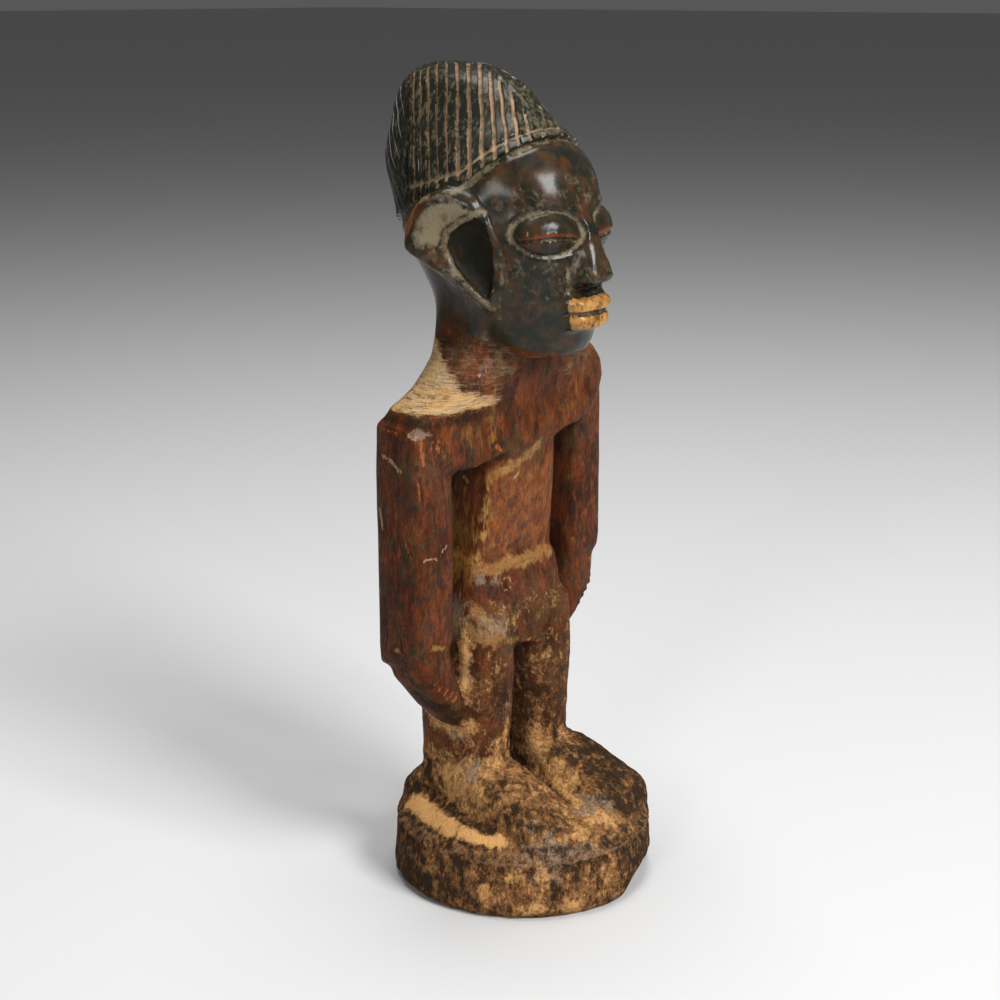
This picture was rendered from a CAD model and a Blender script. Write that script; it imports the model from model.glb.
"""Looks of the ibeji figure: a standing twin figure carved, with its round plinth, from one block.

Blender works in metres. Places and sizes below are in millimetres at the figure's full height, in
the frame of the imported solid: +Z up, and the figure faces -Y, so its own right side is -X.
"Forward" is measured along -Y from the plinth's axis, and "level" is the height over the floor.
A band is a middle and a half-width. A ramp is the place where it starts and the place where it ends.
"""
import math
import random

import bmesh
import bpy
import numpy as np
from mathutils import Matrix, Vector, noise


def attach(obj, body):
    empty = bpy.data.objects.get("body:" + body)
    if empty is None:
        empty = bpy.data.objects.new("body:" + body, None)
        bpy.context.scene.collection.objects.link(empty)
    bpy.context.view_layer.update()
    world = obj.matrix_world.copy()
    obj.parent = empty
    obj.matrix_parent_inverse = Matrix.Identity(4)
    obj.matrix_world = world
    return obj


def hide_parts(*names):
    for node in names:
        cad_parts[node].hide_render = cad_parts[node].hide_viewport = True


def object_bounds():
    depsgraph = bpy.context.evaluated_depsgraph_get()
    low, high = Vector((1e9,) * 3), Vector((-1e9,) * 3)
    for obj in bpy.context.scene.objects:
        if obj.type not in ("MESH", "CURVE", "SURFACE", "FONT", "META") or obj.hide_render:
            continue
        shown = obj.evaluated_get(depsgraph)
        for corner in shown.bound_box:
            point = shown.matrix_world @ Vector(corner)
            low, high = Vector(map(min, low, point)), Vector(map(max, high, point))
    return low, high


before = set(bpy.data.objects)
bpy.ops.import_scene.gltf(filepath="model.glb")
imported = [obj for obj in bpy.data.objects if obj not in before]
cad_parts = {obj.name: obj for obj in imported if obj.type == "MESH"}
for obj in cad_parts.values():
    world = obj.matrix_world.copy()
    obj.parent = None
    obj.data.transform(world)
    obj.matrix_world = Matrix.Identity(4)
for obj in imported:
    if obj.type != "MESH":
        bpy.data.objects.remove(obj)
cad_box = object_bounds()

# One millimetre at the figure's full height, in metres
FULL_HEIGHT = 269.5
MM = cad_box[1].z / FULL_HEIGHT

# Camera: the photograph's place and angle of view
CAMERA_TURN = 50  # degrees from the figure's front to its right side
CAMERA_DISTANCE = 560
CAMERA_HEIGHT = 291
CAMERA_TILT = 16.03
FRAME_PIXELS = 1000
FOCAL_PIXELS = 1783
AXIS_PIXEL = 523  # where the plinth's axis falls across the picture
SENSOR = 36
CLIP = (0.01, 50)

# Light: name, place, what it points at, size and power, in metres and watts
LIGHTS = [
    ("key", (-0.1, -1.2, 1.1), (0, 0, 0.15), 0.6, 27),
    ("side", (-1.2, -0.35, 0.65), (0, 0, 0.18), 0.3, 3.5),
    ("top", (0.1, 0.1, 1.2), (0, 0, 0.15), 0.6, 10),
]
STUDIO_COLOUR = (0.6, 0.6, 0.6, 1)
STUDIO_STRENGTH = 0.16
FLOOR_COLOUR = (0.62, 0.62, 0.62, 1)
FLOOR_ROUGHNESS = 0.8
FLOOR_HALF = 20

# Skin of the carving
SKIN_STEP = 1.35  # size of its faces, halved on the face, ears, hands, nicks and the plinth's edge
MERGE_REACH = 0.002
SHRINK_PUSH = 0.6  # a round of smoothing shrinks, and then grows by a little less
GROW_PUSH = -0.55
MELT_PUSH = 0.5
FACET_PASSES = 5  # rounds of smoothing that wear down the edges of the body
HEAD_PASSES = 45  # rounds that take the facets off the head
DETAIL_PASSES = 3  # rounds that even out the halved faces
EAR_SPARED = 0.55  # how far the ears and the features of the face are spared the wear
FEATURE_SPARED = 0.5
SHARP_ANGLE = 42
WIDE_PUSH = 0.7  # the wider form, which tells the hollows, is the skin smoothed this much
WIDE_PASSES = 14
FULL_HOLLOW = 0.8

# Unevenness: height, size, seed and upward stretch
LUMP = (0.32, 15, 1, 1.6)
SMALL_LUMP = (0.12, 4.5, 2, 2)
CRUST_LUMP = (0.3, 2.2, 3)
CRUST_HEAP = (0.4, 6, 5)
HEAD_LUMP = (0.34, 9, 9)
HAIR_WOBBLE = (0.55, 7, 8)
WOBBLE_START = (3, 10)  # ramp over the hairline
CALM_HEAD = (180, 192)  # ramp of levels over which the knife's marks grow fainter
CALM = 0.75
STANDING_EDGE = (0, 1.5)  # ramp that keeps the underside flat

# Hair: side locks cut by grooves, a border of blocks along the hairline, and a back panel
HAIRLINE = [(-52, 213), (-27, 226), (-4, 233.2), (12, 248.5)]  # forward and level, from nape to front
HAIR_FOOT = 206
HAIR_FRONT = 12
HAIR_STAND = 1.3
HAIR_EDGE = 0.2  # the hair starts this far over the hairline
EDGE_RISE = 0.5  # shares of the hair's stand by which its edge rises and the skin under it sinks
EDGE_SINK = -0.8
EDGE_FADE = (0.4, 5)
LOCK_SWEEP = 0.84  # a lock runs this much forward for each step out from the middle
LOCK_LEVEL = 240
PARTING = -47.4
FIRST_PITCH = 2.5
PITCH_GROWTH = 0.4
WIDEST_PITCH = 5.2
GROOVE_SHARE = 0.42
GROOVE_DEPTH = 1.15
GROOVE_HALF = 0.6
GROOVE_CHANCE = 0.35  # a groove's half-width grows by up to this at random
GROOVE_GROWTH = 0.012  # and by this for its pitch squared
GROOVE_WALL = (0.5, 1)
CUTS_ACROSS = (-1, -0.55, 0, 0.55, 1)  # cuts across a groove, as shares of its half-width
LEAST_LEAN = 0.03
LEAN_GROWTH = 0.24
LEAN_RAMP = (-22, 9)
CREST_HALF = (1.5, 6)  # grooves end beside the crest
CREST_START = (-22, -12)
FRONT_FADE = 0.35  # grooves are shallower at the front
FRONT_RAMP = (-10, 6)
BORDER_HEIGHT = 4.3
BORDER_GROOVE = 1.4
BORDER_CUTS = (0, 0.25, 0.75, 1)
BORDER_WALL = 0.75
BORDER_START = (-1, 3)
BORDER_STRIP = (3, 7)  # band over the hairline that is cut for the border
PANEL_SLOPE = 1.05
PANEL_START = 224
PANEL_PITCH = 4.7
PANEL_FIRST = 0.8
PANEL_GROOVES = 11
PANEL_HALF = 0.55
PANEL_DEPTH = 0.8  # share of the side locks' grooves
PANEL_DROP = 0.35
GROOVE_DUST = 0.82  # how full of dust a groove is, and how much that varies
DUST_CHANGE = 0.4
DUST_RUN = (8, 6, 2)  # size, seed and upward stretch
SNAP = 0.1  # corners this near to a cut are taken as lying on it
SLIVER = 0.02  # thinner faces are dissolved

# Ear: its place sideways, forward and up, and then its own axes, out from the head, back and up
EAR_PLACE = (28.5, -5.5, 214.8)
EAR_TURN = 0.45
EAR_HALF = (5, 15, 18.5)
EAR_SWEEP = 0.85
EAR_TAPER = 0.7
TAPER_END = 1.1
NARROWEST = 0.2
EAR_THICKNESS = 1.15
EAR_INSIDE = 20
EAR_EDGE = (1.02, 1.25)
EAR_RIDGE = [(-10.3, 11.2), (-3.9, 9.1), (1.4, 5.2), (2.3, 0.4), (-0.6, -5.5), (-5.9, -11.2), (-13, -18)]
EAR_FRONT = [(-13.4, -14), (-13.8, -6), (-13.6, 1), (-12.4, 6), (-10.5, 10)]
TRAGUS = [(-10.5, 9.5), (-12.5, 4.5), (-15.2, -0.3), (-17.6, -4)]
TRAGUS_INSIDE = 15
RIM_BAND = (0.9, 0.17)
RIM_BACK = (-12, -5)
RIM_UP = (-8, 0)
WORN_BAND = (0.95, 0.16)
WORN_BACK = (2, 6)
WORN_UP = (8, 12)
DISH_EDGE = (0.5, 2)
DISH_UP = (-2, 4)
DISH_RIM = (0.7, 0.85)
LOBE_DOWN = (0, 5)
RIDGE_WALL = (0.3, 2.1)
HOLLOW_WALL = (0.4, 1.8)
TRAGUS_WALL = (0.2, 1.5)
RIM_HEIGHT = 0.7
RIDGE_HEIGHT = 0.45
TRAGUS_HEIGHT = 0.6
HOLLOW_DEPTH = 1.6

# Face of the carver's usual kind, in thirds of the head. An eye's place is sideways, forward and up
CHIN_LEVEL = 182
FACE_FOOT = 186
FACE_FORWARD = 24
FACE_BACK = 4
EYE_PLACE = (12.6, 18.6, 219.8)
EYE_TURN = 0.5
EYE_HALF = (10.2, 6)
EYE_WEAR = (1.15, 1.6)  # ramp over which the wear is spared
EYE_GROOVE = (1.12, 0.17)
EYE_REACH = 2
SLIT_LEVEL = -1.4
SLIT_BEND = 0.012
SLIT_HALF = (8.8, 0.8)
LID_HALF = (9.2, 1.2)
LID_RISE = 1.4
MIDDLE_THIRD = (202, 22)
MIDDLE_HALF = 15
MIDDLE_FORWARD = 14
NOSE_LEVEL = 204.2
NOSTRIL_ASIDE = 3.6
NOSTRIL_FORWARD = 3.5
NOSTRIL_WALL = (0.4, 2.2)
NOSTRIL_BAND = (-1, 2.5)
WING_ASIDE = (8.2, 1.2)
WING_BAND = (2.5, 5)
MOUTH_LEVEL = 195.3
MOUTH_HALF = 9.6
MOUTH_GROOVE = 1
LIP_HALF = 6.4
LIP_EDGE = 0.12
EYE_GROOVE_DEPTH = 0.75
SLIT_DEPTH = 0.9
LID_HEIGHT = 0.25
MOUTH_DEPTH = 1.1
NOSTRIL_DEPTH = 1.2
WING_DEPTH = 0.6

# Fingers and toes
FINGER_LINE = [
    (-45.9, 11.4, 83.7), (-44.9, 6.8, 81.8), (-42.7, 3.7, 78.9), (-38.6, 2.3, 74.9), (-32.9, 2.2, 70.4),
]
FINGER_PITCH = 2.9
FINGER_WALL = (0.9, 2.6)
FINGER_START = (4, 9)
FINGER_HEIGHT = 0.45
LEFT_HAND_RISE = 12.5  # the left hand is carved this much higher than the right one
WORN_FINGERS = 0.8
WORN_BACKS = (0.1, 0.9)
WORN_START = (9, 14)
HAND_INSIDE = 26
HAND_LEVELS = (54, 92)
TOE_PITCH = 4.9
TOE_LEVELS = (24, 38)
TOE_SIDES = (6, 27)
TOE_START = (15, 23)  # places forward on the right and the left foot
TOE_RUN = 5
TOE_WALL = (0.55, 0.95)
TOE_DEPTH = 0.4

# Nicks and marks
CHIP_PLACE = (-46.2, 3.9, 160.2)  # a facet split off the shoulder
CHIP_FACING = (-0.76, -0.6, 0.25)
CHIP_HALF = (4.6, 2.4)
CHIP_DEPTH = 0.7
CHIP_SLOPE = 0.8
CHIP_EDGE = (0.75, 1.05)
RING_PLACE = (-10.1, -1, 104)  # round nick on the apron
RING_BAND = (2.2, 0.9)
RING_DEPTH = 0.3
RING_PALE = 0.7
KNOB_PLACE = (-19.7, -13.4, 37.9)
KNOB_HALF = 2.2
KNOB_WALL = (0.5 * KNOB_HALF, 1.3 * KNOB_HALF)
KNOB_HEIGHT = 1.5
NICK_DEPTH = 0.35
SCRATCH_DEPTH = 0.25
FOLD_DEPTH = 0.7
SMEAR_HEIGHT = 0.2
FILM_HEIGHT = 0.08
MARK_REACH = 2.5

# Plinth
EDGE_LEVEL = 19.7  # lower edge of the chamfer
EDGE_RADIUS = 41
EDGE_INSIDE = 3
EDGE_STRIP = 2.5
LIP_BAND = (0.3, 1.1)  # the lip stands out over a line pressed in below it
PRESSED_BAND = (-1.6, 1.2)
LIP_HEIGHT = 0.5

# Lines on the skin: corners and half-width
CRUST_LINES = [
    ([(-25.2, 3.6, 88), (-24.8, 4.5, 80), (-24.6, 4.3, 66.5)], 3),  # streak down the thigh
    ([(-25.3, 19, 58), (-25.4, 8.5, 54), (-24.4, 2.9, 57.5)], 2.6),  # leg under the hand
    ([(6.3, 1.4, 42), (3.7, -6.5, 33.5), (-1.3, -22.5, 31), (-5, -33, 27)], 2.4),  # far foot's inner edge
    ([(-13, -4, 58), (-12, -5, 46)], 1.6),  # near leg's front edge
]
FILM_LINES = [
    ([(-20.5, 2.6, 110.8), (-14, 1, 109.4), (-7, 0, 110.6), (0, 0.6, 109.4), (14, 1.6, 109)], 2.3),  # belt
    ([(-17, -1, 141), (-13.8, -1.2, 143.5), (-5.6, -2.3, 145), (3, -3.4, 148.5)], 2),  # under the chest
    ([(-25.8, 7.4, 92), (-23, 0, 89), (-17, -3.4, 87.5)], 2.6),  # hem
    ([(-24, 1, 98), (-19, -2, 92)], 2.2),  # hip
    ([(-17, -3.4, 86.5), (-8, -3.5, 85), (-5, -3, 82)], 1.4),
    ([(-25.5, 14, 58), (-25, 5, 55), (-24, 2, 58)], 2.4),
    ([(-11, -4, 66), (-11, -5, 52)], 1.5),
    ([(13.3, -0.3, 80), (13.3, -0.3, 66)], 2.2),  # far leg
    ([(45, 8, 98.5), (38, -1, 99.7), (29, 4, 101)], 1.1),  # far wrist
    ([(-48.2, 13.5, 89.3), (-43.2, 3, 90.2), (-33, -1, 88), (-25.6, 5, 86)], 0.8),  # near wrist
]
GREY_LINES = [
    ([(-20, 2, 107.5), (-15, 0.5, 106.5)], 1.8),  # under the belt
    ([(-25.6, 8, 97), (-25.4, 7, 90)], 4),  # hip
    ([(-22, -2, 93), (-16, -3.5, 91)], 3.2),
    ([(-24.5, 5, 72), (-24.4, 5.4, 64)], 1.6),
]
SMOOTH_CRUST = [
    ([(-28.5, 25.5, 25), (-33.6, 12.4, 26.5), (-36.4, 1.5, 26)], 3.3),
    ([(-36.2, -4, 25.8), (-35, -9.7, 25.5), (-32.6, -17, 25.2)], 2.3),
    ([(-25.2, 3.6, 87), (-24.8, 4.5, 80), (-24.6, 4.3, 68)], 1.2),  # streak down the thigh
]
OCHRE_LINES = [
    ([(-16.6, 1.5, 143), (-17, 1.8, 127), (-19.8, 3, 112)], 1.5),  # left edge of the belly
    ([(-20, -3, 172), (-20.5, -3, 152)], 1.4),  # chest beside the shoulder
    ([(29.5, 2, 130), (29.5, 3, 104)], 1.8),  # far arm's inner edge
]
ORANGE_LINES = [
    ([(-46.2, 3, 157.8), (-45.6, 2.5, 151)], 0.75),  # torn grain under the shoulder's chip
    ([(-42.8, 1.2, 158), (-43.3, 1.6, 155.4)], 0.35),
    ([(-41, 0.4, 157.8), (-41.5, 0.8, 155.3)], 0.45),
    ([(-40.3, 0.2, 156.1), (-40.8, 0.6, 153.8)], 0.4),
    ([(-18.9, -4.2, 152.6), (-16.8, -4.2, 151)], 0.8),
    ([(-47.8, 19.1, 160.6), (-48.2, 14.5, 160.1), (-48.3, 11, 159.6)], 0.4),
    ([(-48.3, 8.8, 125.9), (-48.1, 6.1, 120.2)], 0.5),
    ([(-47.1, 3.7, 146.2), (-46.8, 3.2, 139)], 0.45),
]
PALE_LINES = [
    ([(-48.3, 10.5, 159.3), (-48.1, 8.3, 159.6), (-47, 4.6, 158.6)], 0.4),  # edge of the chip
    ([(-48.1, 18.2, 151.8), (-48.4, 13.7, 150.7), (-48.3, 10, 147.8)], 0.6),  # curved scratch
    ([(-47.8, 19.6, 134), (-48.2, 18.4, 128)], 0.9),
    ([(-46.3, 2.8, 119.4), (-45.2, 2.1, 120.3), (-41.4, 1.3, 119.8)], 0.42),
    ([(-38.8, 1.2, 121.8), (-36.6, 1.4, 122.6)], 0.5),
    ([(-16.8, 11.4, 139.4), (-17, 10, 138)], 0.8),
    ([(-7.9, -2.1, 139.2), (-5.6, -2.3, 141.1)], 0.6),
]
DARK_LINES = [
    ([(-25, 26, 29.5), (-27.4, 13.8, 28.7), (-31.5, 0.8, 28.1), (-30.8, -11.2, 27.3)], 2.2),  # foot's edge
    ([(3.5, 2, 40), (1, -7, 32), (-4, -22, 29)], 2.2),  # between the feet
    ([(-41, 10, 72), (-38.5, 8, 69), (-35, 5, 66.5)], 2.6),  # under the fingers
    ([(-33, 0, 146), (-24, 0, 143.5)], 1),  # chest's edge
]

# Patches on the skin: middle and half-size
PALE_SPOTS = [
    ((-26.5, 9.5, 33.7), 6), ((-25, 7, 41), 4), ((-27.9, -2.7, 34), 4), ((-17.8, -2.8, 47.3), 5),
    ((8.3, -2.3, 42), 5), ((4.3, -9.9, 36.6), 4.5), ((3.7, -16, 33.9), 4), ((16.4, -5.4, 42.3), 4.5),
    ((1.4, -36, 26.3), 4), ((-13.1, -34.2, 25.1), 4), ((20.2, -30.4, 30.8), 2.5), ((-24, -8, 33), 4),
    ((-24.5, 2.8, 50.6), 3.5), ((-34.6, 10.4, 26.2), 4), ((-42.1, 3.8, 14.6), 4.5),
    ((-38.4, -16.3, 9.8), 3), ((-32.7, -25, 15.8), 3.5), ((-27.9, -30.3, 15.3), 3.5),
    ((-30.4, -29.1, 3.7), 4.5), ((-20.9, -36.8, 5), 4), ((-8, -41, 12), 3), ((-25, 14, 56), 4),
    ((-19.6, -13.3, 38.5), 1.8),
]
DARK_SPOTS = [
    ((-25.9, 19.1, 35), 4.5), ((-28.4, 6.6, 29.1), 3.5), ((-25.7, -8.1, 38.8), 4.5),
    ((-28, -21.1, 31.6), 4.5), ((-18.9, -25.4, 30.9), 4.5), ((15, -26.9, 33.1), 5.5),
    ((23, -12, 36), 10), ((4.5, 7.1, 37.5), 6), ((-25, 31, 29), 6), ((-29, 32, 22), 6),
    ((-42.3, -1.1, 9.8), 5), ((-41.4, -7.7, 8.8), 4.5), ((-40.9, -11.1, 5.4), 3.5),
    ((-39.3, -13.7, 11.8), 3.5), ((-33.9, -23.5, 13), 3.5), ((-23.6, -34.4, 10.3), 4),
    ((-31, 5, 61), 6), ((5, -2, 62), 5), ((-16, -3.5, 68), 4),
]
GREY_SPOTS = [
    ((-0.6, -27.8, 29.5), 6), ((-24, -30.5, 21.6), 7), ((-23.6, 1, 42.5), 3.5), ((-25.7, 1.8, 40.1), 2.5),
    ((-24, 6, 54), 3.5), ((-15, -3, 62), 5), ((5, -30, 29), 4), ((-25, 4.2, 82), 3),
    ((-24.7, 4.3, 74), 2.6),
]
BLUE_SPOTS = [
    ((-48.4, 10.6, 138.5), 3), ((-48, 5.9, 137.4), 2.6), ((-42.4, 1.4, 137.9), 1.8),
    ((-37.7, -0.7, 152.6), 1.8), ((-5.7, -1.1, 132.2), 1.6), ((-7.7, -0.7, 129.9), 1),
    ((-12.6, 1.1, 118.9), 1.5), ((-3.7, 1.3, 115), 2.4), ((-17.5, 3.3, 130.3), 1.5),
    ((-17.8, 8.5, 131.4), 1.6), ((-19, 6.2, 119.7), 1.8), ((-34.8, -1.5, 158.5), 2.2),
    ((-29.8, -2.8, 153), 1.7), ((-14.4, -4.1, 153.4), 1.8), ((2, -1.5, 126), 1.4), ((4, -1, 121), 1.2),
    ((-47.5, 7, 113), 2.4), ((-45, 3, 108), 2), ((-48, 14, 104), 3), ((-44, 2, 98), 2.4),
    ((-12, -1, 98), 2.2), ((-3, -1.5, 94), 2.6), ((-17.5, 1, 103), 2.2), ((-9, -2.5, 165), 1.6),
]

# Zones of the plinth, feet and legs: bands and ramps
WALL_TOP = (19.3, 20.1)
CHAMFER_START = (37.8, 38.6)
CHAMFER_TOP = 24.5
LEFT_WALL = (18, 34)
RIGHT_WALL = (0, 14)
FEET_TOP = (40, 54)
LEGS_TOP = (74, 100)
HIPS = (92, 16)
NEAR_FOOT = ((36, 11), (10, 20), (5, 18))  # band of levels, ramp across, band back
FAR_FOOT = (3, 12)
FAR_FOOT_LEVEL = 24
POLISHED_EDGE = ((-18, 20), (14, 24))  # band across, ramp forward
EDGE_BAND = (19.5, 1.2)
EDGE_FRONT = (8, 18)
UPPER_EDGE = (23.2, 1.2)
UNDER_EDGE = (17.6, 1.9)
FOOT_EDGE = (0, 4)
SHADED_LEGS = (66, 22)
UNDER_STRAW = ((163.2, 4), (15, 21))  # band of levels, ramp to the right
BEHIND_NECK = (185, 8)

# Zones of the body: bands and ramps
STRAW_FOOT = (165, 166.5)
STRAW_TOP = 171  # at the plinth's axis, rising towards the back
STRAW_RISE = 0.73
STRAW_SIDE = (12, 25)
STRAW_BACK = (16, 26)
THREADS_TOP = (170, 179)
NECK_STROKES = ((178, 15), (2, 14))  # band of levels, ramp aside
ARM_START = (29, 32)
ARM_TOP = 158
BELLY = ((128, 22), (15, 19), (-5, -1))  # band of levels, ramps aside and forward
CHEST = ((140, 150), (172, 184))
APRON = (98, 18)
ARM_FRONT = (92, 104)
THROAT = (179, 11)
PURPLE_APRON = (98, 15)
PURPLE_THIGHS = (68, 26)
PURPLE_NECK = (172, 14)
PURPLE_ARMS = (146, 26)
SIDE_PANEL = ((22, 9), (122, 34), (2, 5))  # bands aside and of levels, ramp back
WORN_CHEST = ((12, 17), (160, 22))

# Zones of the head: bands and ramps
HEAD_START = (184.5, 189)
DUSTY_HAIR = (-16, 4)
TEMPLE = (-1.2, 2.6)  # band under the hairline
TEMPLE_BACK = -24
BROW = ((231, 9), (-2, 14))  # band of levels, ramp forward
CHEEK = ((208, 14), (-2, 10))

# Colours, linear
BLACK_GREEN = (0.011, 0.013, 0.009, 1)
BLACK_BROWN = (0.018, 0.01, 0.005, 1)
BLACK_BLUE = (0.02, 0.02, 0.023, 1)
HEAD_BROWN = (0.05, 0.031, 0.014, 1)
HEAD_RED = (0.06, 0.024, 0.01, 1)
DEEP_RED = (0.045, 0.011, 0.004, 1)
RED_BROWN = (0.17, 0.04, 0.01, 1)
PINK_RED = (0.3, 0.05, 0.028, 1)
ORANGE_BROWN = (0.3, 0.095, 0.018, 1)
BELLY_ORANGE = (0.36, 0.1, 0.02, 1)
BELLY_PINK = (0.2, 0.06, 0.024, 1)
ORANGE_RED = (0.36, 0.11, 0.035, 1)
PURPLE_GREY = (0.1, 0.05, 0.034, 1)
GREY_DUST = (0.23, 0.185, 0.115, 1)
OLIVE_DUST = (0.1, 0.085, 0.05, 1)
TAN = (0.33, 0.24, 0.145, 1)
PINK_TAN = (0.3, 0.17, 0.1, 1)
STRAW = (0.56, 0.36, 0.16, 1)
GREY_STRAW = (0.5, 0.37, 0.22, 1)
OCHRE = (0.38, 0.155, 0.03, 1)
DARK_OCHRE = (0.11, 0.055, 0.014, 1)
CRUST_PALE = (0.66, 0.355, 0.13, 1)
SMOOTH_EARTH = (0.8, 0.44, 0.16, 1)
CRUST_ORANGE = (0.31, 0.14, 0.05, 1)
CRUST_BROWN = (0.125, 0.056, 0.024, 1)
CRUST_DARK = (0.02, 0.015, 0.009, 1)
OLIVE_BROWN = (0.1, 0.062, 0.022, 1)
CRUST_GREY = (0.26, 0.185, 0.13, 1)
EDGE_OCHRE = (0.58, 0.31, 0.095, 1)
FILM_GREY = (0.32, 0.25, 0.18, 1)
GREEN_BLACK = (0.02, 0.024, 0.014, 1)
PALE_WOOD = (0.42, 0.26, 0.14, 1)
GOLD_BROWN = (0.4, 0.17, 0.045, 1)
PALE_CHIP = (0.3, 0.2, 0.14, 1)

# Patterns of the skin: size across the upright grain, size along it, and seed
PATTERNS = {
    "fine": (0.5, 5, 1),
    "streaks": (1.3, 9, 2),
    "tone": (7, 15, 4),
    "speck": (0.7, 0.9, 5),
    "grit": (1.2, 1.4, 6),
    "clump": (4.5, 5, 7),
    "wide_wear": (8, 12, 8),
    "head_tone": (7, 8, 9),
    "groove_tone": (5, 12, 10),
    "straw_warmth": (9, 0.6, 11),
    "pink_strokes": (0.9, 5.5, 12),
    "wear": (3, 5, 13),
    "blots": (2.2, 3, 14),
    "head_red": (5, 6, 15),
    "hair_dust": (1.6, 6, 16),
    "groove_dust": (2.5, 6, 17),
    "crust_mottle": (2.4, 2.8, 18),
    "veins": (2.4, 2.6, 19),
    "straw_edge": (4, 0.8, 20),
    "threads": (5, 0.35, 21),
    "belly_tone": (4, 5, 22),
    "purple": (3.5, 5, 23),
    "ochre": (1.6, 6, 24),
    "crust_grey": (2, 2.4, 25),
    "straw_shade": (7, 0.5, 26),
    "olive": (8, 14, 27),
    "neck_strokes": (4, 0.8, 28),
    "broken": (0.8, 2, 29),
    "crust_grain": (0.7, 1, 30),
    "crust_strokes": (0.6, 2.6, 31),
    "straw_tone": (5, 4, 32),
    "hollow": (2, 6, 33),
    "deep": (1.2, 2.8, 34),
    "dabs": (1.1, 2.6, 35),
    "film_tone": (3, 1.6, 36),
    "gold": (2.6, 3.6, 37),
    "dots": (1.5, 2.2, 38),
    "marks": (0.8, 2.6, 39),
    "shade": (3.2, 5, 40),
    "glint": (1.2, 2.4, 41),
    "deep_patches": (3.2, 5, 42),
    "crust_patches": (2.8, 3, 43),
}
PATTERN_DETAIL = 4
PATTERN_ROUGHNESS = 0.62
PATTERN_DISTORTION = 0.3
PATTERN_RANGE = (0.28, 0.72)  # the noise's own range, evened to run from 0 to 1
EMPTY_MASK = 0.12  # a layer fades out where its mask is weaker than this

# Roughness, polish and relief
BODY_ROUGHNESS = (0.4, 0.62)
HEAD_ROUGHNESS = (0.15, 0.36)
HAIR_ROUGHNESS = (0.32, 0.55)
GLINT_ROUGHNESS = 0.26
DUST_ROUGHNESS = 0.6
DRY_ROUGHNESS = 0.9
LOBE_ROUGHNESS = 0.5
EDGE_ROUGHNESS = 0.36
SPECULAR = 0.07
COAT_ROUGHNESS = 0.2
HEAD_COAT = 0.32
HAIR_COAT = 0.25
GLINT_COAT = 0.5
CHIP_COAT = 0.5
LOBE_DULLED = 0.6
BUMP_STRENGTH = 0.8
BUMP_HEIGHT = 0.8
GRAIN_RELIEF = 0.3
SPECK_RELIEF = 0.1
HEAD_RELIEF = 0.12
GRIT_RELIEF = 0.6
HEAP_RELIEF = 0.5
CRACK_RELIEF = 0.3


def smoothstep(values, low, high):
    share = np.clip((values - low) / (high - low), 0, 1)
    return share * share * (3 - 2 * share)


def bell(values, middle, half):
    """One in the middle, falling to nothing at the half-width."""
    return 1 - smoothstep(np.abs(values - middle), 0, half)


def points_of(mesh):
    flat = np.empty(len(mesh.vertices) * 3, np.float32)
    mesh.vertices.foreach_get("co", flat)
    return flat.reshape(-1, 3).astype(float) / MM


def place_points(mesh, points):
    mesh.vertices.foreach_set("co", (points * MM).astype(np.float32).ravel())
    mesh.update()


def normals_of(mesh):
    flat = np.empty(len(mesh.vertices) * 3, np.float32)
    mesh.vertices.foreach_get("normal", flat)
    return flat.reshape(-1, 3).astype(float)


def edges_of(mesh):
    flat = np.empty(len(mesh.edges) * 2, np.int32)
    mesh.edges.foreach_get("vertices", flat)
    return flat.reshape(-1, 2)


def neighbour_mean(values, edges):
    """The mean of the values at each vertex's neighbours."""
    count = len(values)
    columns = values.reshape(count, -1)
    total = np.empty_like(columns)
    for index in range(columns.shape[1]):
        column = columns[:, index]
        total[:, index] = np.bincount(edges[:, 0], column[edges[:, 1]], count)
        total[:, index] += np.bincount(edges[:, 1], column[edges[:, 0]], count)
    share = np.maximum(np.bincount(edges.ravel(), minlength=count), 1)
    return (total / share[:, None]).reshape(values.shape)


def smooth(points, edges, strength, passes):
    """Smooths by a strength for each vertex, and keeps the volume."""
    for _ in range(passes):
        for push in (SHRINK_PUSH, GROW_PUSH):
            step = neighbour_mean(points, edges) - points
            points = points + step * (strength * push)[:, None]
    return points


def melt(points, edges, normals, strength, passes):
    """Smooths hard, then lifts the skin back by the mean that it sank nearby."""
    start = points
    for _ in range(passes):
        step = neighbour_mean(points, edges) - points
        points = points + step * (strength * MELT_PUSH)[:, None]
    sunk = ((start - points) * normals).sum(axis=1) * strength
    for _ in range(passes):
        sunk = neighbour_mean(sunk, edges)
    return points + normals * sunk[:, None]


def ripple(points, size, seed, stretch=1):
    """Soft noise between about -1 and 1 with bumps of that size, drawn out upwards."""
    shift = Vector((seed * 7.3, seed * 3.1, seed * 5.7))
    scaled = points / (size, size, size * stretch)
    return np.array([noise.noise(Vector(point) + shift) for point in scaled])


def lumps(points, kind):
    height, *pattern = kind
    return height * ripple(points, *pattern)


def line_reach(points, corners):
    """Distance of each point from a line through corners, and how far along the line it lies."""
    nearest = np.full(len(points), 1e9)
    along = np.zeros(len(points))
    passed = 0
    for start, end in zip(corners, corners[1:]):
        start = np.array(start, float)
        run = np.array(end, float) - start
        length = np.linalg.norm(run)
        share = np.clip((points - start) @ run / length ** 2, 0, 1)
        reach = np.linalg.norm(points - start - share[:, None] * run, axis=1)
        closer = reach < nearest
        along = np.where(closer, passed + share * length, along)
        nearest = np.minimum(nearest, reach)
        passed += length
    return nearest, along


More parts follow.
